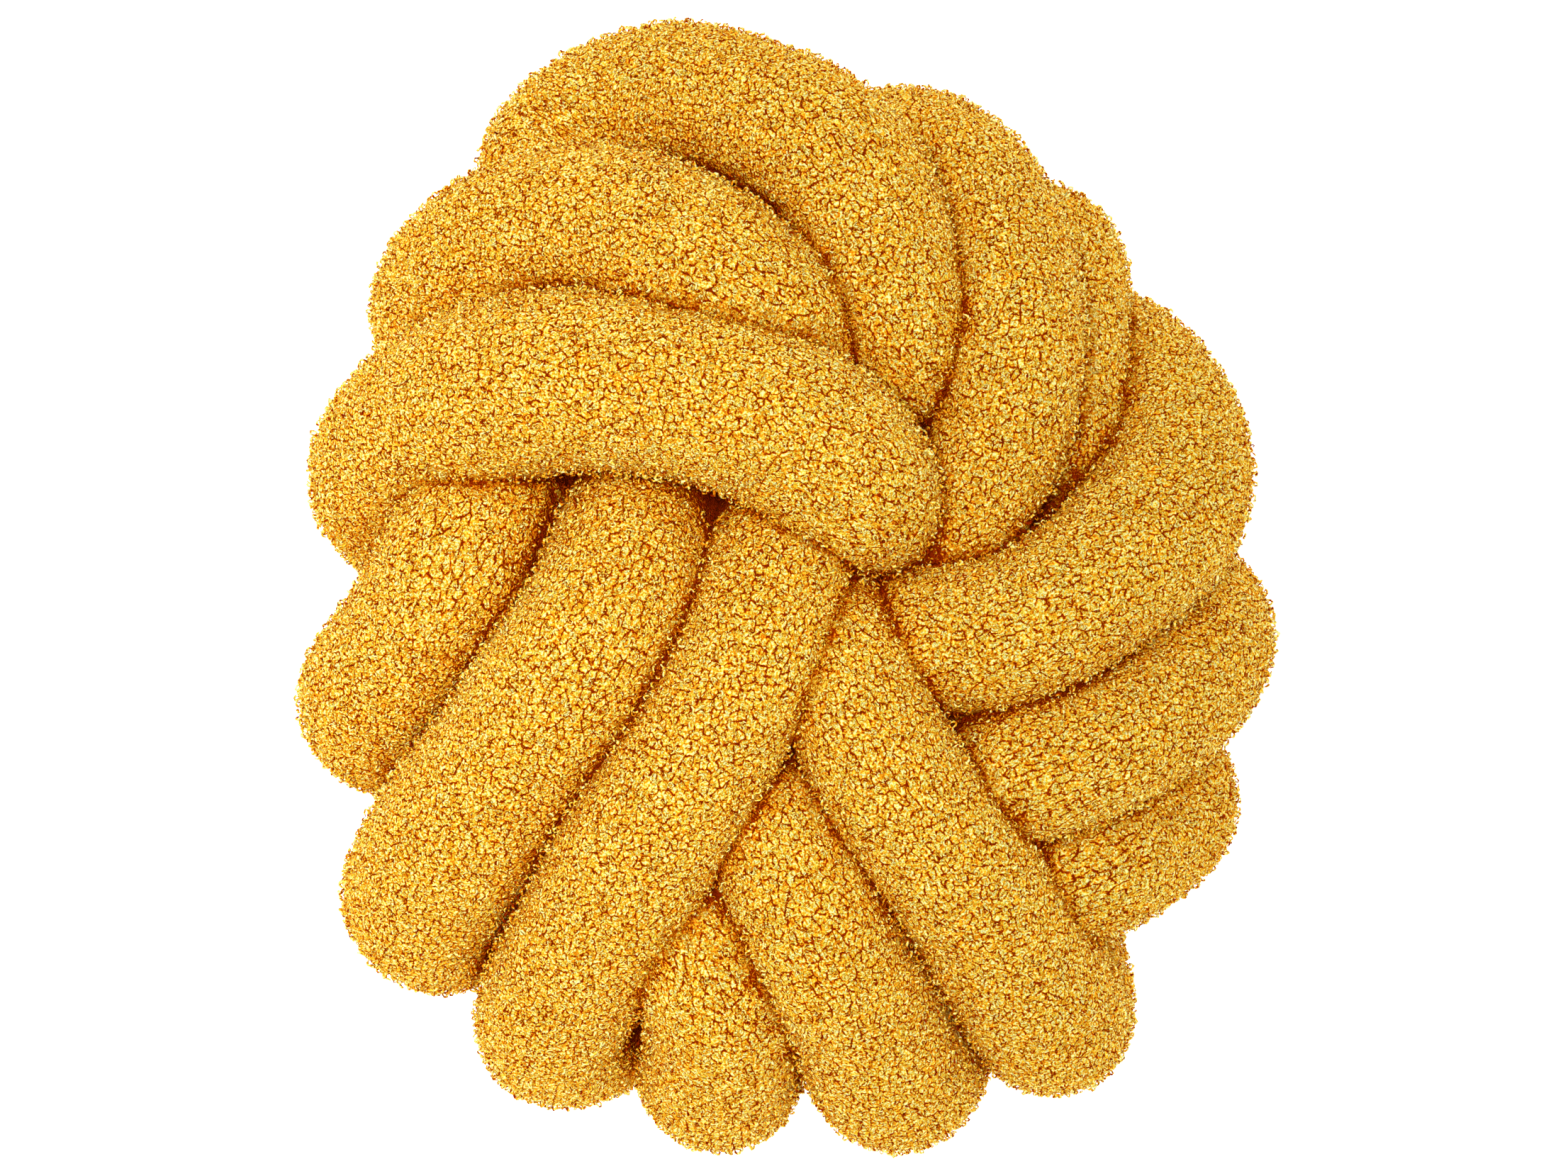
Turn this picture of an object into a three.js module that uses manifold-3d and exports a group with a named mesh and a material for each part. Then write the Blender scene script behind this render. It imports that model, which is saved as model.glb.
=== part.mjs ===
// Knot cushion: a stuffed boucle tube tied in five bands of three passes, lying on its back.
// Millimetres, Z up out of the cushion's face, Y towards its head, X to its right.
import * as THREE from "three";
import { mergeVertices } from "three/addons/utils/BufferGeometryUtils.js";
import Module from "manifold-3d";

const wasm = await Module();
wasm.setup();

const bandCount = 5;
const lanesInBand = 3;

// The face: how the tube's centre line rises from the rim to the crown.
const rimLevel = 70;
const crownRise = 57;
const domeHalfWidth = 116;
const domeHalfLength = 138;
const domeRoundness = 2.2;
const diveLength = 18;
const diveDrop = 36;
const diveGirth = 0.7;
const diveFloor = 55;
const rimGirth = 1.07;

// The back: passes laid in a regular pinwheel and pressed flat by the cushion's weight.
const backRadius = 22.5;
const backHeight = 20;
const backFirstLane = 25;
const backLaneGap = 40;
const backRimRadius = 118;
const backNarrowing = 0.8;
const backTuckRise = 14;
const backLaneRise = 1.5;

// The tube's mesh.
const tubeSides = 16;
const tubeSteps = 28;
const tubeEndRings = 3;
const finestEdge = 0.25;

// The packed middle, where passes lie under one another.
const middleHalf = { width: 110, length: 131, height: 44 };
const middleHeight = 66;

// A pass over the face: four spots on its centre line, from the rim to where it tucks under the next band,
// its height where it crosses the rim, its lift off the dome, its drop at the tuck, and its radius.
// Lane 0 runs nearest the dimple.
function pass(band, lane, rim, early, late, tuck, rimHeight, lift, drop, radius) {
  return { band, lane, rim, early, late, tuck, rimHeight, lift, drop, radius };
}

const passes = [
  pass(0, 0, [-113, 32], [-68, 56], [-5, 46], [19, 28], 70, 8, 8, 25.5),
  pass(0, 1, [-93, 79], [-52, 99], [-13, 80], [5, 61], 68, 2, 22, 24.9),
  pass(0, 2, [-64, 116], [-34, 135], [15, 114], [30, 62], 60, 2, 18, 24.0),
  pass(1, 0, [40, 119], [59, 88], [61, 53], [41, 8], 70, -7, 20, 21.2),
  pass(1, 1, [71, 94], [77, 72], [76, 41], [66, 18], 60, -26, 18, 21.0),
  pass(1, 2, [74, 75], [78, 58], [74, 38], [67, 18], 36, -50, 18, 21.0),
  pass(2, 0, [96, 61], [106, 27], [69, -8], [29, -15], 58, 0, 20, 23.0),
  pass(2, 1, [114, -11], [99, -34], [70, -49], [43, -53], 66, 0, 24, 22.0),
  pass(2, 2, [106, -59], [94, -72], [79, -78], [57, -80], 62, -4, 16, 22.2),
  pass(3, 0, [76, -121], [52, -86], [23, -43], [10, -8], 66, 2, 20, 22.8),
  pass(3, 1, [32, -135], [17, -110], [4, -85], [-7, -56], 66, 0, 15, 23.2),
  pass(3, 2, [-19, -136], [-18, -118], [-23, -100], [-33, -81], 62, -5, 16, 23.6),
  pass(4, 0, [-65, -125], [-43, -77], [-10, -19], [0, 21], 66, 2, 22, 23.0),
  pass(4, 1, [-100, -90], [-75, -46], [-50, -9], [-38, 25], 66, 0, 22, 24.9),
  pass(4, 2, [-113, -34], [-102, -12], [-90, 8], [-80, 29], 66, -3, 17, 23.8),
];

// Height of the tube's centre line over the floor at a spot on the face.
function domeHeight([x, y]) {
  const reach = Math.min(1, Math.hypot(x / domeHalfWidth, y / domeHalfLength));
  return rimLevel + crownRise * Math.sqrt(1 - reach ** domeRoundness);
}

// Mean direction in which a band crosses the rim, seen from above.
function bandAngle(band) {
  const crossing = new THREE.Vector2();
  for (const row of passes.filter((each) => each.band === band)) {
    crossing.add(new THREE.Vector2(...row.rim).normalize());
  }
  return crossing.angle();
}

// Two spots on the back for a pass: halfway along its lane, and where it tucks in.
function backSpots(row) {
  const turn = (2 * Math.PI) / bandCount;
  const lane = lanesInBand - 1 - row.lane;
  const offset = backFirstLane + backLaneGap * lane;
  const middleOffset = backFirstLane + backLaneGap;
  const middleRun = Math.sqrt(backRimRadius ** 2 - middleOffset ** 2);
  const heading = bandAngle(row.band) + Math.PI - Math.atan2(middleOffset, middleRun);
  const along = new THREE.Vector2(Math.cos(heading), Math.sin(heading));
  const aside = new THREE.Vector2(along.y, -along.x);
  const tuckAt = (backFirstLane - backRadius - offset * Math.cos(turn)) / Math.sin(turn) + backRadius;
  const rimAt = -Math.sqrt(backRimRadius ** 2 - offset ** 2);
  const spot = (run, height) => {
    const place = aside.clone().multiplyScalar(offset).addScaledVector(along, run);
    return new THREE.Vector3(place.x * backNarrowing, place.y, height + backLaneRise * lane);
  };
  const tuckRise = backTuckRise * (1 - lane / lanesInBand);
  return [spot((rimAt + tuckAt) / 2, backHeight), spot(tuckAt, backHeight + tuckRise)];
}

// The whole centre line of a pass: dives under the next band, crosses the face, turns over the rim
// and runs in along the back.
function passRoute(row) {
  const raised = (spot, drop) => new THREE.Vector3(...spot, domeHeight(spot) + row.lift - drop);
  const late = raised(row.late, 0);
  const tuck = raised(row.tuck, row.drop);
  const bearing = (from, to) => Math.atan2(to[1] - from[1], to[0] - from[0]);
  const lastBearing = bearing(row.late, row.tuck);
  const heading = 2 * lastBearing - bearing(row.early, row.late);
  const ahead = new THREE.Vector3(Math.cos(heading), Math.sin(heading), 0);
  const dive = tuck.clone().addScaledVector(ahead, diveLength);
  dive.z = Math.max(dive.z - diveDrop, diveFloor);
  const rim = new THREE.Vector3(...row.rim, row.rimHeight);
  return [dive, tuck, late, raised(row.early, 0), rim, ...backSpots(row)];
}

// A capsule bent along a centre line: a stuffed tube with round ends.
function stuffedTube(route, faceRadius) {
  const line = new THREE.CatmullRomCurve3(route, false, "centripetal");
  const frames = line.computeFrenetFrames(tubeSteps);
  const tube = new THREE.CapsuleGeometry(1, tubeSteps, tubeEndRings, tubeSides, tubeSteps);
  const place = tube.getAttribute("position");
  const spot = new THREE.Vector3();
  for (let i = 0; i < place.count; i += 1) {
    const run = place.getY(i) + tubeSteps / 2;
    const step = Math.min(tubeSteps, Math.max(0, Math.round(run)));
    const onBack = THREE.MathUtils.smoothstep(step / tubeSteps, 0.5, 0.8);
    const inDive = 1 - THREE.MathUtils.smoothstep(step / tubeSteps, 0, 0.2);
    const girth = THREE.MathUtils.lerp(faceRadius, backRadius, onBack);
    const atRim = THREE.MathUtils.smoothstep(step / tubeSteps, 0.35, 0.5) * (1 - onBack);
    const swell = THREE.MathUtils.lerp(1, rimGirth, atRim) * THREE.MathUtils.lerp(1, diveGirth, inDive);
    const radius = girth * swell;
    const pastEnd = run - THREE.MathUtils.clamp(run, 0, tubeSteps);
    line.getPointAt(step / tubeSteps, spot);
    spot.addScaledVector(frames.binormals[step], place.getX(i) * radius);
    spot.addScaledVector(frames.normals[step], place.getZ(i) * radius);
    spot.addScaledVector(frames.tangents[step], pastEnd * radius);
    place.setXYZ(i, spot.x, spot.y, spot.z);
  }
  return tube;
}

// A geometry as a solid body.
function solidOf(geometry) {
  geometry.deleteAttribute("normal");
  geometry.deleteAttribute("uv");
  const merged = mergeVertices(geometry, 1e-4);
  const triVerts = [];
  for (let i = 0; i < merged.index.count; i += 3) {
    const corners = [0, 1, 2].map((k) => merged.index.getX(i + k));
    if (new Set(corners).size === 3) triVerts.push(...corners);
  }
  const vertProperties = new Float32Array(merged.getAttribute("position").array);
  const mesh = new wasm.Mesh({ numProp: 3, vertProperties, triVerts: new Uint32Array(triVerts) });
  return new wasm.Manifold(mesh);
}

// A solid body as a geometry.
function geometryOf(solid) {
  const mesh = solid.getMesh();
  const geometry = new THREE.BufferGeometry();
  geometry.setAttribute("position", new THREE.BufferAttribute(new Float32Array(mesh.vertProperties), 3));
  geometry.setIndex(new THREE.BufferAttribute(new Uint32Array(mesh.triVerts), 1));
  geometry.computeVertexNormals();
  return geometry;
}

const middle = new THREE.SphereGeometry(1, 24, 16);
middle.scale(middleHalf.width, middleHalf.length, middleHalf.height);
middle.translate(0, 0, middleHeight);

let knot = solidOf(middle);
for (const row of passes) {
  knot = knot.add(solidOf(stuffedTube(passRoute(row), row.radius)));
}

// The floor presses the back flat.
const floor = new THREE.BoxGeometry(800, 800, 100);
floor.translate(0, 0, -50);
knot = knot.subtract(solidOf(floor)).asOriginal().simplify(finestEdge);

// The stuffing leaves no hollow inside: only the outer surface is kept.
const shells = knot.decompose();
knot = shells.reduce((outer, shell) => (shell.volume() > outer.volume() ? shell : outer));

const shape = geometryOf(knot);
shape.computeBoundingBox();
const middleOfBox = shape.boundingBox.getCenter(new THREE.Vector3());
shape.translate(-middleOfBox.x, -middleOfBox.y, 0);

const boucle = new THREE.MeshStandardMaterial({ name: "boucle", color: 0xd9a02c, roughness: 0.95 });
const cushion = new THREE.Mesh(shape, boucle);
cushion.name = "knot_cushion";

const part = new THREE.Group();
part.name = "boucle_knot_cushion";
part.add(cushion);

export default part;
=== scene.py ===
import math
from collections import namedtuple

import bmesh
import bpy
import numpy as np
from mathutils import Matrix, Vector
from mathutils.bvhtree import BVHTree
from mathutils.kdtree import KDTree


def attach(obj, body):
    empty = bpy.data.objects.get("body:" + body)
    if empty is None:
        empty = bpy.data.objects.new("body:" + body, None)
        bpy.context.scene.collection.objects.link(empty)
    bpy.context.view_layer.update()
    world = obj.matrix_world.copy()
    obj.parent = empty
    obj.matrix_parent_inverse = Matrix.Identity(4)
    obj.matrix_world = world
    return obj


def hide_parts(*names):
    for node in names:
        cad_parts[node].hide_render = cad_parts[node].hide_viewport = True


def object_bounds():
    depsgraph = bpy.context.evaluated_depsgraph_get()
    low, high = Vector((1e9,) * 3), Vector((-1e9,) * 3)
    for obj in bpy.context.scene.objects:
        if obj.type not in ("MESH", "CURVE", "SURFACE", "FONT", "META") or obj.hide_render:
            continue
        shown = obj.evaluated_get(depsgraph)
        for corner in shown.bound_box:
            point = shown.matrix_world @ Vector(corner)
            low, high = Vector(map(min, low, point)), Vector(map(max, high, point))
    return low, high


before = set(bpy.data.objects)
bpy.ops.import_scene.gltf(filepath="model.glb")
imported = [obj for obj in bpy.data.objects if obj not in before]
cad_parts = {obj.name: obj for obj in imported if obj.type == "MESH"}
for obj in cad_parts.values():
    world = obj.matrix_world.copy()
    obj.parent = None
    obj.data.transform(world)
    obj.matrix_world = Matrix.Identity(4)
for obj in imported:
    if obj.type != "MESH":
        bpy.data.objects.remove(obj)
cadLow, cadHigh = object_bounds()
mm = 0.001
dice = np.random.default_rng(11)
print("frame loaded, CAD box", tuple(cadLow), tuple(cadHigh))


def selectOnly(obj):
    bpy.ops.object.select_all(action="DESELECT")
    obj.select_set(True)
    bpy.context.view_layer.objects.active = obj


def applyModifier(obj, kind, **settings):
    selectOnly(obj)
    added = obj.modifiers.new(kind.lower(), kind)
    for name, value in settings.items():
        setattr(added, name, value)
    bpy.ops.object.modifier_apply(modifier=added.name)


# places ("co") or normals of all points of a mesh
def readPoints(obj, field):
    numbers = np.empty(len(obj.data.vertices) * 3, np.float32)
    obj.data.vertices.foreach_get(field, numbers)
    return numbers.reshape(-1, 3).astype(float)


def putPoints(obj, spots):
    obj.data.vertices.foreach_set("co", spots.astype(np.float32).ravel())
    obj.data.update()


def trianglesOf(obj):
    obj.data.calc_loop_triangles()
    corners = np.empty(len(obj.data.loop_triangles) * 3, np.int32)
    obj.data.loop_triangles.foreach_get("vertices", corners)
    return corners.reshape(-1, 3)


def treeOf(spots):
    tree = KDTree(len(spots))
    for k, spot in enumerate(spots):
        tree.insert(spot, k)
    tree.balance()
    return tree


# millimetres from each spot to the nearest one in the tree
def distanceTo(tree, spots):
    return np.array([tree.find(spot)[2] for spot in spots]) / mm


def smoothStep(x, low, high):
    x = np.clip((x - low) / (high - low), 0, 1)
    return x * x * (3 - 2 * x)


def unit(ways):
    return ways / np.linalg.norm(ways, axis=-1, keepdims=True)


def runAlong(line):
    return np.concatenate([[0], np.cumsum(np.linalg.norm(np.diff(line, axis=0), axis=1))])


# two sides and the way itself as the axes of each spot, turned about the way
def frameOf(way, turn=0):
    across = np.where(np.abs(way[:, :1]) < 0.8, (1.0, 0, 0), (0, 1.0, 0))  # x, or y for ways along x
    side = unit(np.cross(way, across))
    other = np.cross(way, side)
    turn = np.broadcast_to(turn, len(way))[:, None]
    return np.cos(turn) * side + np.sin(turn) * other, np.cos(turn) * other - np.sin(turn) * side, way


# the stuffed tubes, laid as in the solid, in millimetres
knot = {
    "bandCount": 5,
    "lanesInBand": 3,
    "rimLevel": 70,
    "crownRise": 57,
    "domeHalfWidth": 116,
    "domeHalfLength": 138,
    "domeRoundness": 2.2,
    "diveLength": 18,
    "diveDrop": 36,
    "diveGirth": 0.7,
    "diveFloor": 55,
    "rimGirth": 1.07,
    "backRadius": 22.5,
    "backHeight": 20,
    "backFirstLane": 25,
    "backLaneGap": 40,
    "backRimRadius": 118,
    "backNarrowing": 0.8,
    "backTuckRise": 14,
    "backLaneRise": 1.5,
    "middleHalf": (110, 131, 44),
    "middleHeight": 66,
    "middleSegments": 64,
    "middleRings": 48,
    "pileDepth": 1.7,  # how far the curls stand over the cloth
    "diveShare": (0, 0.2),  # stretches of a tube's length where its girth changes
    "rimShare": (0.35, 0.5),
    "backShare": (0.5, 0.8),
    "curveSamples": 60,  # between two spots of a route
    "tubeSteps": 100,
    "tubeSides": 9,
    "endTurns": (12, 26, 40, 54, 67, 79, 88),  # degrees: the rings of a round end
    "weldGap": 0.001,
    "lumpSize": 35,
    "lumpHeight": 2.2,
    "creaseTurn": 18,  # degrees: a sharper valley is a crease
    "creaseStep": 0.6,
    "creaseSink": 0.4,
    "creaseReach": 2.0,
    "shortestEdge": 0.01,
    "flatLevel": 0.7,  # the cloth's height where the back lies on the floor
}

# a pass over the face: spots from the rim to the tuck, height at the rim, lift, drop at the tuck, radius
Pass = namedtuple("Pass", "band lane rim early late tuck rimHeight lift drop radius")
passes = [
    Pass(0, 0, (-113, 32), (-68, 56), (-5, 46), (19, 28), 70, 8, 8, 25.5),
    Pass(0, 1, (-93, 79), (-52, 99), (-13, 80), (5, 61), 68, 2, 22, 24.9),
    Pass(0, 2, (-64, 116), (-34, 135), (15, 114), (30, 62), 60, 2, 18, 24.0),
    Pass(1, 0, (40, 119), (59, 88), (61, 53), (41, 8), 70, -7, 20, 21.2),
    Pass(1, 1, (71, 94), (77, 72), (76, 41), (66, 18), 60, -26, 18, 21.0),
    Pass(1, 2, (74, 75), (78, 58), (74, 38), (67, 18), 36, -50, 18, 21.0),
    Pass(2, 0, (96, 61), (106, 27), (69, -8), (29, -15), 58, 0, 20, 23.0),
    Pass(2, 1, (114, -11), (99, -34), (70, -49), (43, -53), 66, 0, 24, 22.0),
    Pass(2, 2, (106, -59), (94, -72), (79, -78), (57, -80), 62, -4, 16, 22.2),
    Pass(3, 0, (76, -121), (52, -86), (23, -43), (10, -8), 66, 2, 20, 22.8),
    Pass(3, 1, (32, -135), (17, -110), (4, -85), (-7, -56), 66, 0, 15, 23.2),
    Pass(3, 2, (-19, -136), (-18, -118), (-23, -100), (-33, -81), 62, -5, 16, 23.6),
    Pass(4, 0, (-65, -125), (-43, -77), (-10, -19), (0, 21), 66, 2, 22, 23.0),
    Pass(4, 1, (-100, -90), (-75, -46), (-50, -9), (-38, 25), 66, 0, 22, 24.9),
    Pass(4, 2, (-113, -34), (-102, -12), (-90, 8), (-80, 29), 66, -3, 17, 23.8),
]


def domeHeight(spot):
    reach = min(1.0, math.hypot(spot[0] / knot["domeHalfWidth"], spot[1] / knot["domeHalfLength"]))
    return knot["rimLevel"] + knot["crownRise"] * math.sqrt(1 - reach ** knot["domeRoundness"])


# mean direction in which a band crosses the rim
def bandAngle(band):
    crossing = np.zeros(2)
    for row in passes:
        if row.band == band:
            crossing += np.array(row.rim) / np.hypot(*row.rim)
    return math.atan2(crossing[1], crossing[0])


# on the back: halfway along the pass's lane, and where it tucks in
def backSpots(row):
    turn = 2 * math.pi / knot["bandCount"]
    lane = knot["lanesInBand"] - 1 - row.lane
    first, radius, rim = knot["backFirstLane"], knot["backRadius"], knot["backRimRadius"]
    offset = first + knot["backLaneGap"] * lane
    middleOffset = first + knot["backLaneGap"]
    middleRun = math.sqrt(rim**2 - middleOffset**2)
    heading = bandAngle(row.band) + math.pi - math.atan2(middleOffset, middleRun)
    along = np.array([math.cos(heading), math.sin(heading)])
    aside = np.array([along[1], -along[0]])
    tuckAt = (first - radius - offset * math.cos(turn)) / math.sin(turn) + radius
    rimAt = -math.sqrt(rim**2 - offset**2)
    tuckRise = knot["backTuckRise"] * (1 - lane / knot["lanesInBand"])
    spots = []
    for run, rise in (((rimAt + tuckAt) / 2, 0), (tuckAt, tuckRise)):
        place = aside * offset + along * run
        height = knot["backHeight"] + rise + knot["backLaneRise"] * lane
        spots.append((place[0] * knot["backNarrowing"], place[1], height))
    return spots


def passRoute(row):
    early, late, tuck = row.early, row.late, row.tuck
    first = math.atan2(late[1] - early[1], late[0] - early[0])
    last = math.atan2(tuck[1] - late[1], tuck[0] - late[0])
    heading = 2 * last - first  # keeps turning under the next band
    tuckHeight = domeHeight(tuck) + row.lift - row.drop
    dive = (
        tuck[0] + knot["diveLength"] * math.cos(heading),
        tuck[1] + knot["diveLength"] * math.sin(heading),
        max(tuckHeight - knot["diveDrop"], knot["diveFloor"]),
    )
    onFace = [(*spot, domeHeight(spot) + row.lift) for spot in (late, early)]
    return np.array([dive, (*tuck, tuckHeight), *onFace, (*row.rim, row.rimHeight), *backSpots(row)], float)


# a smooth curve through the route's spots, in even steps
def centreLine(route, steps):
    ends = [2 * route[0] - route[1], *route, 2 * route[-1] - route[-2]]
    line = []
    for k in range(len(route) - 1):
        p0, p1, p2, p3 = ends[k : k + 4]
        g0, g1, g2 = [math.sqrt(np.linalg.norm(b - a)) for a, b in ((p0, p1), (p1, p2), (p2, p3))]
        out = ((p1 - p0) / g0 - (p2 - p0) / (g0 + g1) + (p2 - p1) / g1) * g1
        into = ((p2 - p1) / g1 - (p3 - p1) / (g1 + g2) + (p3 - p2) / g2) * g1
        t = np.linspace(0, 1, knot["curveSamples"], endpoint=False)[:, None]
        bend, twist = -3 * p1 + 3 * p2 - 2 * out - into, 2 * p1 - 2 * p2 + out + into
        line.append(p1 + out * t + bend * t**2 + twist * t**3)
    line = np.vstack([*line, route[-1:]])
    run = runAlong(line)
    even = np.linspace(0, run[-1], steps + 1)
    return np.stack([np.interp(even, run, line[:, k]) for k in range(3)], 1)


# a pass's centre line and the cloth's radius along it
def laneOf(row):
    line = centreLine(passRoute(row), knot["tubeSteps"])
    share = np.linspace(0, 1, len(line))
    onBack = smoothStep(share, *knot["backShare"])
    girth = row.radius + (knot["backRadius"] - row.radius) * onBack
    girth *= 1 + (knot["rimGirth"] - 1) * smoothStep(share, *knot["rimShare"]) * (1 - onBack)
    girth *= 1 + (knot["diveGirth"] - 1) * (1 - smoothStep(share, *knot["diveShare"]))
    return line, girth - knot["pileDepth"]


def layTube(line, girth):
    turns = np.radians(knot["endTurns"])
    startWay, endWay = unit(line[0] - line[1]), unit(line[-1] - line[-2])
    before = line[0] + startWay * girth[0] * np.sin(turns[::-1, None])
    after = line[-1] + endWay * girth[-1] * np.sin(turns[:, None])
    spots = np.vstack([before, line, after]) * mm
    radii = np.concatenate([girth[0] * np.cos(turns[::-1]), girth, girth[-1] * np.cos(turns)]) * mm
    curve = bpy.data.curves.new("pass", "CURVE")
    curve.dimensions = "3D"
    curve.bevel_depth = 1.0
    curve.bevel_resolution = knot["tubeSides"]
    curve.use_fill_caps = True
    spline = curve.splines.new("POLY")
    spline.points.add(len(spots) - 1)
    spline.points.foreach_set("co", np.hstack([spots, np.ones((len(spots), 1))]).ravel())
    spline.points.foreach_set("radius", radii)
    tube = bpy.data.objects.new("pass", curve)
    bpy.context.collection.objects.link(tube)
    return tube


def weldTube(tube, lumps):
    selectOnly(tube)
    bpy.ops.object.convert(target="MESH")
    bpy.ops.object.mode_set(mode="EDIT")
    bpy.ops.mesh.select_all(action="SELECT")
    bpy.ops.mesh.remove_doubles(threshold=knot["weldGap"] * mm)
    bpy.ops.mesh.normals_make_consistent(inside=False)
    bpy.ops.object.mode_set(mode="OBJECT")
    height = knot["lumpHeight"] * mm
    applyModifier(tube, "DISPLACE", texture=lumps, texture_coords="LOCAL", strength=height, mid_level=0.5)


# only the outer shell stays
def keepBiggest(obj, name):
    selectOnly(obj)
    bpy.ops.object.mode_set(mode="EDIT")
    bpy.ops.mesh.select_all(action="SELECT")
    bpy.ops.mesh.separate(type="LOOSE")
    bpy.ops.object.mode_set(mode="OBJECT")
    shells = sorted(bpy.context.selected_objects, key=lambda o: len(o.data.vertices))
    for inner in shells[:-1]:
        bpy.data.objects.remove(inner)
    shells[-1].name = name
    return shells[-1]


# the union leaves its faces in any order: sorted by their first edge, they are the same each run
def sortFaces(obj):
    shape = bmesh.new()
    shape.from_mesh(obj.data)
    count = len(shape.verts)
    shape.faces.sort(key=lambda face: face.verts[0].index * count + face.verts[1].index)
    shape.to_mesh(obj.data)
    shape.free()


# spots along every valley edge that is sharp enough
def creaseTree(obj):
    steepest = math.radians(knot["creaseTurn"])
    shape = bmesh.new()
    shape.from_mesh(obj.data)
    found = []
    for edge in shape.edges:
        longEnough = edge.is_manifold and edge.calc_length() > knot["shortestEdge"] * mm
        if longEnough and edge.calc_face_angle_signed(0) < -steepest:
            a, b = (np.array(end.co) for end in edge.verts)
            pieces = max(1, round(np.linalg.norm(b - a) / (knot["creaseStep"] * mm)))
            found += [a + (b - a) * k / pieces for k in range(pieces + 1)]
    shape.free()
    return treeOf(found)


lumps = bpy.data.textures.new("stuffingLumps", "CLOUDS")
lumps.noise_scale = knot["lumpSize"] * mm
lumps.noise_depth = 1
bpy.ops.object.select_all(action="DESELECT")
lanes = [laneOf(row) for row in passes]
tubes = [layTube(line, girth) for line, girth in lanes]
for tube in tubes:
    weldTube(tube, lumps)

# the middle, joined with the tubes
bpy.ops.object.select_all(action="DESELECT")
bpy.ops.mesh.primitive_uv_sphere_add(
    segments=knot["middleSegments"],
    ring_count=knot["middleRings"],
    radius=1,
    location=(0, 0, knot["middleHeight"] * mm),
)
body = bpy.context.object
body.scale = [(half - knot["pileDepth"]) * mm for half in knot["middleHalf"]]
selectOnly(body)
bpy.ops.object.transform_apply(location=True, rotation=True, scale=True)
for tube in tubes:
    applyModifier(body, "BOOLEAN", operation="UNION", object=tube, solver="MANIFOLD")
    bpy.data.objects.remove(tube)
print("tubes united", len(body.data.vertices), "points")
body = keepBiggest(body, "cushionBody")
sortFaces(body)

# centred on the solid, drawn in along its creases and pressed flat by its own weight
spots = readPoints(body, "co")
centre = (spots.max(0) + spots.min(0)) / 2
shift = np.append((np.array(cadLow[:2]) + np.array(cadHigh[:2])) / 2 - centre[:2], 0)
spots += shift
lanes = [(line * mm + shift, girth * mm) for line, girth in lanes]
putPoints(body, spots)
creases = creaseTree(body)
fromCrease = distanceTo(creases, spots)
sink = knot["creaseSink"] * np.exp(-((fromCrease / knot["creaseReach"]) ** 2))
spots -= readPoints(body, "normal") * sink[:, None] * mm
spots[:, 2] = np.maximum(spots[:, 2], knot["flatLevel"] * mm)
putPoints(body, spots)
selectOnly(body)
bpy.ops.object.shade_smooth()
body.data.name = body.name
print("body", len(trianglesOf(body)), "triangles, box", spots.min(0), spots.max(0))


# the boucle's curls of yarn, in millimetres
curl = {
    "candidates": 420000,  # spots tried before they are thinned
    "gapFace": 1.62,  # between curls where the face and sides show
    "gapBack": 3.9,
    "backTurn": -0.45,  # normals lower than this are on the back
    "backSize": 1.3,
    "ringRadius": 0.8,
    "yarnRadius": 0.31,
    "yarnSpread": 0.12,
    "sizeSpread": 0.35,
    "arc": (190, 400),  # degrees of a ring in one curl
    "taper": 0.4,
    "squeeze": (0.7, 1.0),
    "rise": 1.1,
    "riseSpread": (0.5, 1.2),
    "archPower": 0.7,
    "footDepth": 0.45,
    "tilt": (0.6, 0.4),
    "rings": 4,
    "sides": 3,
    "shapes": 40,
    "lean": 0.3,
    "clumpGap": 2.7,
    "clumpReach": 0.8,
    "clumpPull": 0.2,
    "clumpRise": 0.9,
    "clumpLean": 0.6,
    "floorGap": 0.05,
    "creaseGap": 0.3,
    "creaseShade": 3.4,
    "creaseSky": 0.42,  # a spot that sees less sky lies in a crease
    "shallow": 0.4,
    "leastSky": 0.16,  # no curls where less shows
    "skyRays": 16,
    "skyTurn": 2.399963,  # radians from ray to ray, the golden angle
    "skyStart": 1.6,
    "skyReach": 35,  # how far a ray goes before it counts as free
    "shadeFrom": 0.4,  # shade runs from this far under the cloth
    "shadeOver": 0.5,
    "paintedLightShares": (0.35, 0.45, 0.2),  # of the height, the yarn's top edge and the clump: painted shade low in the pile and at a clump's edge, a painted highlight on the top edge
    "groundTone": 0.2,
    "groundRise": 0.6,
    "pieceLimit": 190000,  # triangles
    "cellMargin": 0.06,
}


def spread(count, corners, spots, normals, weight):
    a, b, c = (spots[corners[:, k]] for k in range(3))
    share = np.linalg.norm(np.cross(b - a, c - a), axis=1) * weight
    face = dice.choice(len(corners), count, p=share / share.sum())
    u, v = dice.random((2, count))
    flip = u + v > 1
    u[flip], v[flip] = 1 - u[flip], 1 - v[flip]
    weights = np.stack([1 - u - v, u, v], 1)
    place = (spots[corners[face]] * weights[:, :, None]).sum(1)
    way = (normals[corners[face]] * weights[:, :, None]).sum(1)
    return place, unit(way)


# the first come stay, and clear their gap
def thin(place, gap):
    tree = treeOf(place)
    free = np.ones(len(place), bool)
    kept = []
    for k in range(len(place)):
        if free[k]:
            kept.append(k)
            for _, near, _ in tree.find_range(place[k], gap[k]):
                free[near] = False
    return np.array(kept)


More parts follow.
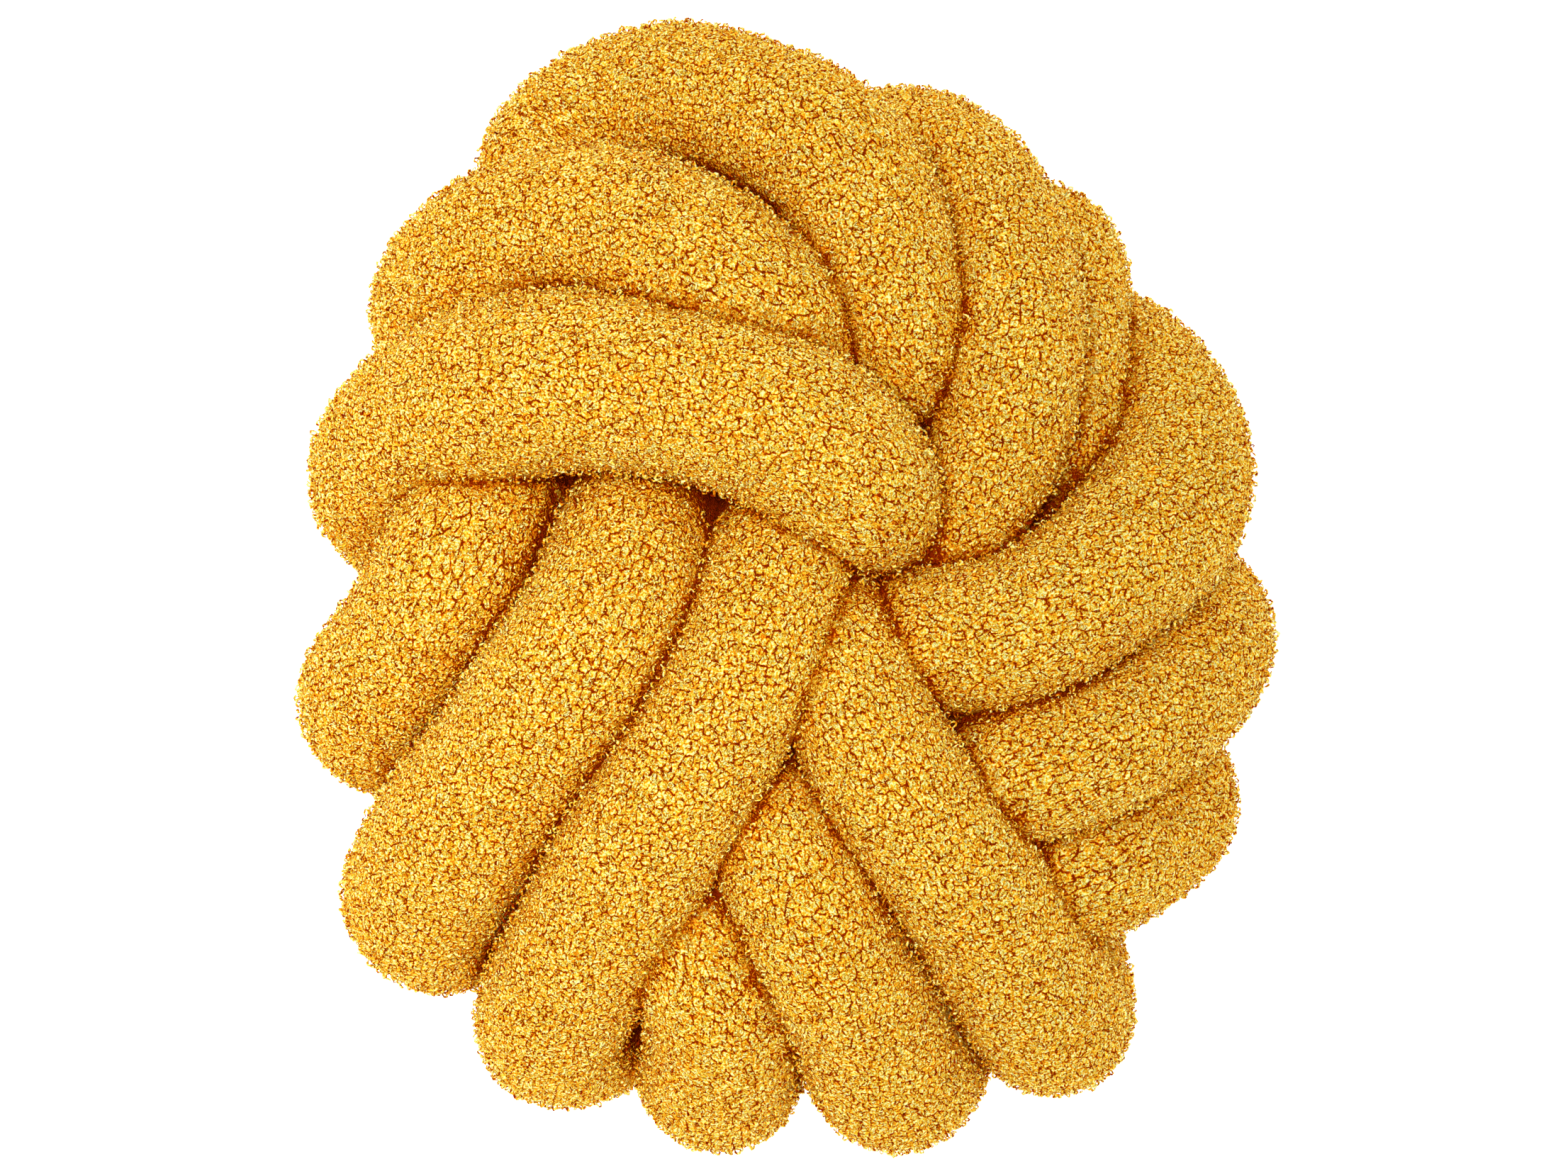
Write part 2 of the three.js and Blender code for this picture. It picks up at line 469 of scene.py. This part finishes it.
# the share of rays out of each spot that meet no other cloth
def openSky(place, way, search):
    rays = curl["skyRays"]
    turn = np.arange(rays) * curl["skyTurn"]
    sink = np.sqrt((np.arange(rays) + 0.5) / rays)
    sky = np.stack([sink * np.cos(turn), sink * np.sin(turn), np.sqrt(1 - sink**2)], 1)
    side, other, _ = frameOf(way)
    start = place + way * (curl["skyStart"] * mm)
    free = np.zeros(len(place))
    for ray in sky:
        aim = ray[0] * side + ray[1] * other + ray[2] * way
        free += [search.ray_cast(a, b, curl["skyReach"] * mm)[0] is None for a, b in zip(start, aim)]
    return free / rays


# 0 deep in a crease, 1 well away from it: painted crease shade grows as this falls
def offCrease(sky, distance):
    away = np.minimum(smoothStep(sky, 0, curl["creaseSky"]), smoothStep(distance, 0, curl["creaseShade"]))
    return np.maximum(away, sky - curl["shallow"])  # a shallow valley stays light


# the cloth laid flat: how far along and around its tube each spot is, and those two ways
def clothMap(place):
    best = np.full(len(place), np.inf)
    flat, along, around = np.zeros((3, len(place), 3))
    for number, (line, girth) in enumerate(lanes):
        near = np.linalg.norm(place[:, None] - line[None], axis=2)
        step = near.argmin(1)
        off = np.abs(near.min(1) - girth[step])
        ours = off < best
        best[ours], step = off[ours], step[ours]
        ways = unit(np.gradient(line, axis=0))
        aside = np.cross(line[len(line) // 2] - line[0], (0, 0, 1.0))
        aside = unit(aside - (ways @ aside)[:, None] * ways)
        below = np.cross(ways, aside)
        out = place[ours] - line[step]
        slide = (out * ways[step]).sum(1)
        angle = np.arctan2((out * aside[step]).sum(1), -(out * below[step]).sum(1))
        flat[ours, 0] = runAlong(line)[step] + slide + number  # the number keeps tubes a metre apart
        flat[ours, 1] = girth[step] * angle
        along[ours] = ways[step]
        around[ours] = np.cross(ways[step], unit(out - slide[:, None] * ways[step]))
    return flat, along, around


# faces of one yarn with pointed ends, and their corners in a square of the UV map
def tubeFaces(rings, sides):
    last = rings * sides + 1
    faces = [(0, 1 + (s + 1) % sides, 1 + s) for s in range(sides)]
    for k in range(rings - 1):
        low, high = 1 + k * sides, 1 + (k + 1) * sides
        for s in range(sides):
            n = (s + 1) % sides
            faces += [(low + s, low + n, high + n), (low + s, high + n, high + s)]
    faces += [(last, last - sides + s, last - sides + (s + 1) % sides) for s in range(sides)]
    return np.array(faces)


def tubeMap(rings, sides):
    step, lap = 1 / (rings + 1), 1 / sides
    uv = [((0.0, (s + 0.5) * lap), (step, (s + 1) * lap), (step, s * lap)) for s in range(sides)]
    for k in range(1, rings):
        a, b = k * step, (k + 1) * step
        for s in range(sides):
            low, high = s * lap, (s + 1) * lap
            uv += [((a, low), (a, high), (b, high)), ((a, low), (b, high), (b, low))]
    end = 1 - step
    uv += [((1.0, (s + 0.5) * lap), (end, s * lap), (end, (s + 1) * lap)) for s in range(sides)]
    return np.array(uv)


# a few dozen open rings of yarn, each arched and tilted a little differently
def curlShapes():
    rings, sides = curl["rings"], curl["sides"]
    shapes = []
    for _ in range(curl["shapes"]):
        arc = math.radians(dice.uniform(*curl["arc"]))
        t = np.linspace(0, 1, rings + 2)
        radius = curl["ringRadius"] * (1 - curl["taper"] * dice.random() * t)
        squeeze = dice.uniform(*curl["squeeze"])
        rise = np.sin(np.pi * t) ** curl["archPower"] * curl["rise"] * dice.uniform(*curl["riseSpread"])
        x, y = radius * np.cos(arc * t), squeeze * radius * np.sin(arc * t)
        line = np.stack([x, y, rise - curl["footDepth"]], 1)
        line[:, :2] -= line[1:-1, :2].mean(0)
        for axis, most in enumerate(curl["tilt"]):
            line[:, 2] += dice.uniform(-most, most) * line[:, axis]
        ways = unit(np.gradient(line, axis=0))
        outward = unit(np.cross(ways, (0, 0, 1.0)))
        upward = np.cross(outward, ways)
        turn = np.arange(sides) * 2 * np.pi / sides + np.pi / 2
        girth = curl["yarnRadius"] * (1 + curl["yarnSpread"] * dice.standard_normal(rings))
        rows = []
        for k in range(rings):
            around = np.cos(turn)[:, None] * outward[k + 1] + np.sin(turn)[:, None] * upward[k + 1]
            rows.append(line[k + 1] + girth[k] * around)
        shapes.append(np.vstack([line[:1], *rows, line[-1:]]))
    return np.array(shapes)


def putDown(shapes, size, axes, middle):
    turned = np.einsum("nvk,nkj->nvj", shapes * size[:, None, None], np.stack(axes, 1))
    spots = turned + middle[:, None, :]
    spots[:, :, 2] = np.maximum(spots[:, :, 2], curl["floorGap"] * mm)  # the floor flattens them
    return spots


def addMark(mesh, mark, values):
    kind, field = ("FLOAT_VECTOR", "vector") if values.shape[-1] == 3 else ("FLOAT", "value")
    mesh.attributes.new(mark, kind, "POINT").data.foreach_set(field, values.astype(np.float32).ravel())


# joined meshes of whole curls, cut into sectors round the cushion
def makePieces(name, spots, faces, cell, marks):
    order = np.argsort(np.arctan2(spots[:, 0, 1], spots[:, 0, 0]))
    v, f = spots.shape[1], len(faces)
    pieces = []
    for number, part in enumerate(np.array_split(order, math.ceil(len(order) * f / curl["pieceLimit"]))):
        n = len(part)
        mesh = bpy.data.meshes.new(f"{name}_{number + 1}")
        mesh.vertices.add(n * v)
        mesh.loops.add(n * f * 3)
        mesh.polygons.add(n * f)
        mesh.vertices.foreach_set("co", spots[part].astype(np.float32).ravel())
        corner = (faces[None] + (np.arange(n) * v)[:, None, None]).astype(np.int32)
        mesh.loops.foreach_set("vertex_index", corner.ravel())
        mesh.polygons.foreach_set("loop_start", np.arange(0, n * f * 3, 3, dtype=np.int32))
        mesh.polygons.foreach_set("use_smooth", np.ones(n * f, bool))
        for mark, values in marks.items():
            addMark(mesh, mark, np.broadcast_to(values, (len(order), v, *values.shape[2:]))[part])
        grid = math.ceil(math.sqrt(n))  # each curl has its own square of the UV map
        origin = np.stack([np.arange(n) % grid, np.arange(n) // grid], 1)
        margin = curl["cellMargin"]
        uv = (origin[:, None, None] + margin + (1 - 2 * margin) * cell[None]) / grid
        mesh.uv_layers.new(name="OFBake").data.foreach_set("uv", uv.astype(np.float32).ravel())
        mesh.update(calc_edges=True)
        mesh.validate()
        piece = bpy.data.objects.new(mesh.name, mesh)
        bpy.context.collection.objects.link(piece)
        pieces.append(piece)
        print(mesh.name, n * f, "triangles")
    return pieces


# where the curls stand
corners = trianglesOf(body)
normals = readPoints(body, "normal")
search = BVHTree.FromPolygons(spots.tolist(), corners.tolist())
bodySky = openSky(spots, normals, search)
shows = bodySky[corners].mean(1) > curl["leastSky"]
place, way = spread(curl["candidates"], corners, spots, normals, shows)
onBack = way[:, 2] < curl["backTurn"]
kept = thin(place, np.where(onBack, curl["gapBack"], curl["gapFace"]) * mm)
place, way, onBack = place[kept], way[kept], onBack[kept]
toCrease = distanceTo(creases, place)
kept = toCrease > curl["creaseGap"]
place, way, onBack, toCrease = place[kept], way[kept], onBack[kept], toCrease[kept]
sky = openSky(place, way, search)
count = len(place)

# clumps: curls near a clump's middle stand higher, and lean out from it
shuffled = dice.permutation(count)
clumps = shuffled[thin(place[shuffled], np.full(count, curl["clumpGap"] * mm))]
clumpTree = treeOf(place[clumps])
nearest = clumps[[clumpTree.find(spot)[1] for spot in place]]
outward = (place - place[nearest]) / (curl["clumpGap"] * mm)
stand = np.clip(1 - np.linalg.norm(outward, axis=1) / curl["clumpReach"], 0, 1)

size = (1 + curl["sizeSpread"] * dice.uniform(-1, 1, count)) * np.where(onBack, curl["backSize"], 1.0)
up = unit(way + curl["lean"] * dice.standard_normal((count, 3)) + curl["clumpLean"] * outward)
axes = frameOf(up, dice.uniform(0, 2 * np.pi, count))
middle = place - outward * curl["clumpGap"] * curl["clumpPull"] * mm
middle += way * (curl["clumpRise"] * stand * mm)[:, None]
shapes = curlShapes()[dice.integers(curl["shapes"], size=count)]
curlSpots = putDown(shapes, size * mm, axes, middle)

# marks that the boucle's colour reads: "foot" is the spot on the flat cloth; the mark that looks up at open
# sky sets painted shade on open tops, and the rise, sky and crease marks set painted highlight and shade
# painted highlight along each ring's top edge, painted shade low in the pile
highlightEdge = np.concatenate([[0.0], np.tile(np.arange(curl["sides"]) == 0, curl["rings"]), [0.0]])
heights = np.clip((shapes[:, :, 2] + curl["shadeFrom"]) / (curl["rise"] + curl["shadeOver"]), 0, 1)
ofHeight, ofHighlightEdge, ofClump = curl["paintedLightShares"]
flat, along, around = clothMap(place)
beside = curlSpots - place[:, None]
foot = np.zeros(beside.shape) + flat[:, None]
foot[:, :, 0] += (beside * along[:, None]).sum(2)
foot[:, :, 1] += (beside * around[:, None]).sum(2)
curlMarks = {
    "tone": dice.random(count)[:, None],
    "rise": ofHeight * heights + ofHighlightEdge * highlightEdge + ofClump * stand[:, None],
    "sky": sky[:, None],
    "crease": offCrease(sky, toCrease)[:, None],
    # how far the cloth faces up into open sky, for painted shade on the open tops
    "bare": (sky * np.maximum(way[:, 2], 0))[:, None],
    "foot": foot,
}
bodyMarks = {
    "tone": np.full(len(spots), curl["groundTone"]),
    "rise": np.full(len(spots), curl["groundRise"]),
    "sky": bodySky,
    "crease": offCrease(bodySky, fromCrease),
    "bare": bodySky * np.maximum(normals[:, 2], 0),
    "foot": clothMap(spots)[0],
}
for mark, values in bodyMarks.items():
    addMark(body.data, mark, values)
faces, cells = (make(curl["rings"], curl["sides"]) for make in (tubeFaces, tubeMap))
curlPieces = makePieces("curls", curlSpots, faces, cells, curlMarks)
print("curls", count, "of them on the back", int(onBack.sum()))


# a shader socket: sums on it add Math nodes
class Strand:
    def __init__(self, tree, socket=None):
        self.tree, self.socket = tree, socket

    def node(self, kind, settings=None, values=None, out=0):
        made = self.tree.nodes.new(kind)
        for name, value in (settings or {}).items():
            if name == "stops":
                stops = made.color_ramp.elements
                stops[0].color, stops[1].color = value[0][1], value[-1][1]
                for at, colour in value[1:-1]:
                    stops.new(at).color = colour
            else:
                setattr(made, name, value)
        for name, value in (values or {}).items():
            if isinstance(value, Strand):
                self.tree.links.new(value.socket, made.inputs[name])
            else:
                made.inputs[name].default_value = value
        return Strand(self.tree, made.outputs[out] if made.outputs else None)

    def maths(self, operation, a, b):
        return self.node("ShaderNodeMath", {"operation": operation}, {0: a, 1: b})

    def __add__(self, other):
        return self.maths("ADD", self, other)

    def __sub__(self, other):
        return self.maths("SUBTRACT", self, other)

    def __rsub__(self, other):
        return self.maths("SUBTRACT", other, self)

    def __mul__(self, other):
        return self.maths("MULTIPLY", self, other)

    __radd__, __rmul__ = __add__, __mul__


def newMaterial(name):
    made = bpy.data.materials.new(name)
    made.use_nodes = True
    tree = made.node_tree
    tree.nodes.clear()
    return made, Strand(tree)


def finishMaterial(start, values):
    shader = start.node("ShaderNodeBsdfPrincipled", None, values)
    start.node("ShaderNodeOutputMaterial", None, {"Surface": shader})


# golden boucle: one level runs from painted shade in the partings and creases to painted highlights on the
# yarn, and the tones colour it
boucle = {
    "tones": (
        (0.0, (0.28, 0.02, 0.0004, 1)),
        (0.3, (0.78, 0.19, 0.002, 1)),
        (0.6, (0.95, 0.51, 0.014, 1)),
        (0.8, (0.98, 0.80, 0.08, 1)),
        (1.0, (0.99, 0.97, 0.42, 1)),
    ),
    "plainLevel": 0.385,
    # how far the rise mark's painted highlight and shade move the level
    "riseGain": 0.5,
    "toneGain": 0.12,
    "speckScale": 1450.0,
    "speckGain": 2.2,
    "patchScale": 40.0,
    "wobbleReach": 0.0014,  # metres
    "crackScale": 450.0,
    "crackWidth": 0.00028,  # metres
    "crackWobble": 600.0,
    "crackBreaks": (0.42, 0.54),
    "crackDepth": (0.7, 0.7),  # painted shade in the partings: everywhere, and more in patches
    "lipAt": (0.7, 1.8, 4.2),  # in widths of a crack
    "lipGain": 0.2,
    "creaseDepth": (0.1, 0.9),  # painted shade in creases: at once, and more as it gets deeper
    "shadeSky": (0.2, 1.0),
    "shadeDepth": 0.14,
    # painted shade: cloth facing up into open sky is dimmed a little, to flatten the light
    "topShadeSky": (0.2, 1.0),
    "topShadeDepth": 0.1,
    "ringScales": (520.0, 640.0),
    "ringShift": 0.013,
    "ringWobble": 400.0,
    "ringAt": 0.44,
    "ringWidth": 0.17,
    "secondRing": 0.8,
    "ringShare": 0.7,
    "ringHeight": 0.0005,  # metres
    "roughness": (0.6, 0.3),  # least, and more in patches
}


def fade(start, value, low, high):
    values = {"Value": value, "From Min": low, "From Max": high}
    return start.node("ShaderNodeMapRange", {"interpolation_type": "SMOOTHSTEP"}, values)


def noise(start, where, scale, out="Fac"):
    return start.node("ShaderNodeTexNoise", None, {"Vector": where, "Scale": scale, "Detail": 1.0}, out)


def wobbled(start, where, scale):
    reach = (boucle["wobbleReach"],) * 3
    values = {0: noise(start, where, scale, "Color"), 1: reach, 2: where}
    return start.node("ShaderNodeVectorMath", {"operation": "MULTIPLY_ADD"}, values)


def markOf(start, mark, out="Fac"):
    return start.node("ShaderNodeAttribute", {"attribute_name": mark}, out=out)


# painted shade in the partings between clumps of curls, and painted highlights on the lips beside them
def crackLines(start):
    foot = markOf(start, "foot", "Vector")
    cells = {"feature": "DISTANCE_TO_EDGE", "voronoi_dimensions": "2D"}
    bent = wobbled(start, foot, boucle["crackWobble"])
    edge = start.node("ShaderNodeTexVoronoi", cells, {"Vector": bent, "Scale": boucle["crackScale"]})
    width = boucle["crackWidth"] * boucle["crackScale"]
    near, full, far = (at * width for at in boucle["lipAt"])
    lips = fade(start, edge, near, full) * (1 - fade(start, edge, full, far))
    broken = noise(start, foot, boucle["crackWobble"])
    cracks = (1 - fade(start, edge, 0.0, width)) * fade(start, broken, *boucle["crackBreaks"])
    return cracks, lips


def boucleColour(start, where, rise, patches):
    tone, sky, crease, bare = (markOf(start, mark) for mark in ("tone", "sky", "crease", "bare"))
    specks = noise(start, where, boucle["speckScale"])
    cracks, lips = crackLines(start)
    # painted highlight and shade from the rise mark; the specks vary at random
    level = boucle["plainLevel"] + boucle["riseGain"] * rise + (specks - 0.5) * boucle["speckGain"]
    # painted highlight on the lips beside the partings; the tone varies at random
    level = level + (tone - 0.5) * boucle["toneGain"] + lips * boucle["lipGain"]
    # painted shade along the partings
    everywhere, inPatches = boucle["crackDepth"]
    level = level - cracks * (everywhere + inPatches * patches)
    # painted shade in and beside the creases
    atOnce, deeper = boucle["creaseDepth"]
    deep = 1 - crease
    level = level - deep * (atOnce + deeper * deep)
    level = level - (1 - fade(start, sky, *boucle["shadeSky"])) * boucle["shadeDepth"]
    colour = start.node("ShaderNodeValToRGB", {"stops": boucle["tones"]}, {"Fac": level})
    # painted shade: dimmed where the cloth faces up into open sky
    paintedTopShade = 1 - boucle["topShadeDepth"] * fade(start, bare, *boucle["topShadeSky"])
    return start.node("ShaderNodeVectorMath", {"operation": "SCALE"}, {0: colour, "Scale": paintedTopShade})


def yarnRings(start, where, scale):
    shift = boucle["ringShift"] * scale
    moved = start.node("ShaderNodeMapping", None, {"Vector": where, "Location": (shift, 2 * shift, -shift)})
    cells = start.node("ShaderNodeTexVoronoi", None, {"Vector": moved, "Scale": scale})
    off = (cells - boucle["ringAt"]) * (1 / boucle["ringWidth"])
    clamped = {"operation": "SUBTRACT", "use_clamp": True}
    return start.node("ShaderNodeMath", clamped, {0: 1.0, 1: off * off})


# the ground cloth has its curls drawn as rings, with painted shade in the grooves between them
def boucleMaterial(name, ringed):
    look, start = newMaterial(name)
    where = start.node("ShaderNodeTexCoord", out="Object")
    rise = markOf(start, "rise")
    values = {"Specular IOR Level": 0.0}
    if ringed:
        bent = wobbled(start, where, boucle["ringWobble"])
        first, second = (yarnRings(start, bent, scale) for scale in boucle["ringScales"])
        rings = start.maths("MAXIMUM", first, second * boucle["secondRing"])
        # painted shade: the rise level falls in the grooves between the drawn rings
        rise = rise * (1 - boucle["ringShare"] + boucle["ringShare"] * rings)
        bump = {"Distance": boucle["ringHeight"], "Height": rings}
        values["Normal"] = start.node("ShaderNodeBump", None, bump)
    patches = noise(start, where, boucle["patchScale"])
    values["Base Color"] = boucleColour(start, where, rise, patches)
    least, inPatches = boucle["roughness"]
    values["Roughness"] = least + inPatches * patches
    finishMaterial(start, values)
    return look


curlLook = boucleMaterial("boucleCurl", ringed=False)
groundLook = boucleMaterial("boucleGround", ringed=True)

body.data.materials.clear()
body.data.materials.append(groundLook)
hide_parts("knot_cushion")
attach(body, "root")
for piece in curlPieces:
    piece.data.materials.append(curlLook)
    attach(piece, "root")
print("boucle dressed")


# pale floor, soft light and the camera straight above the face, in metres
studio = {
    "floorSize": 6.0,
    "floorCuts": 4,
    "floorColour": (0.93, 0.93, 0.93, 1),
    "floorRoughness": 0.9,
    "floorGlow": 0.9,
    "white": (1, 1, 1, 1),
    "worldStrength": 0.83,
    "keyPlace": (-0.2, 0.05, 2.2),
    "keyAim": (-0.34, -0.05, 0.0),
    "keySpread": 40,  # degrees
    "keySize": 0.5,
    "keyPower": 2.5,
    "cameraHeight": 1.7,
    "cameraAside": -0.0007,
    "imageWidth": 2212,  # pixels
    "pixelSize": 0.0002,  # at the level of the rim
    "sensorWidth": 36,  # millimetres
}

bpy.ops.object.select_all(action="DESELECT")
bpy.ops.mesh.primitive_grid_add(
    x_subdivisions=studio["floorCuts"],
    y_subdivisions=studio["floorCuts"],
    size=studio["floorSize"],
    location=(0, 0, 0),
)
floor = bpy.context.object
floor.name = "floor"
floorLook, start = newMaterial("paleFloor")
finishMaterial(
    start,
    {
        "Base Color": studio["floorColour"],
        "Roughness": studio["floorRoughness"],
        "Emission Color": studio["white"],
        "Emission Strength": studio["floorGlow"],
    },
)
floor.data.materials.append(floorLook)

world = bpy.data.worlds.new("studio")
bpy.context.scene.world = world
world.use_nodes = True
backdrop = world.node_tree.nodes["Background"].inputs
backdrop["Color"].default_value = studio["white"]
backdrop["Strength"].default_value = studio["worldStrength"]

lamp = bpy.data.lights.new("key", "AREA")
lamp.size = studio["keySize"]
lamp.energy = studio["keyPower"]
lamp.spread = math.radians(studio["keySpread"])
key = bpy.data.objects.new("key", lamp)
bpy.context.collection.objects.link(key)
key.location = studio["keyPlace"]
key.rotation_euler = (Vector(studio["keyAim"]) - key.location).to_track_quat("-Z", "Y").to_euler()

toRim = studio["cameraHeight"] - knot["rimLevel"] * mm
lens = bpy.data.cameras.new("camera")
lens.sensor_width = studio["sensorWidth"]
lens.lens = studio["sensorWidth"] * toRim / (studio["imageWidth"] * studio["pixelSize"])
camera = bpy.data.objects.new("camera", lens)
bpy.context.collection.objects.link(camera)
camera.location = (studio["cameraAside"], 0, studio["cameraHeight"])
bpy.context.scene.camera = camera
bpy.context.scene.view_settings.view_transform = "Standard"
print("studio set")
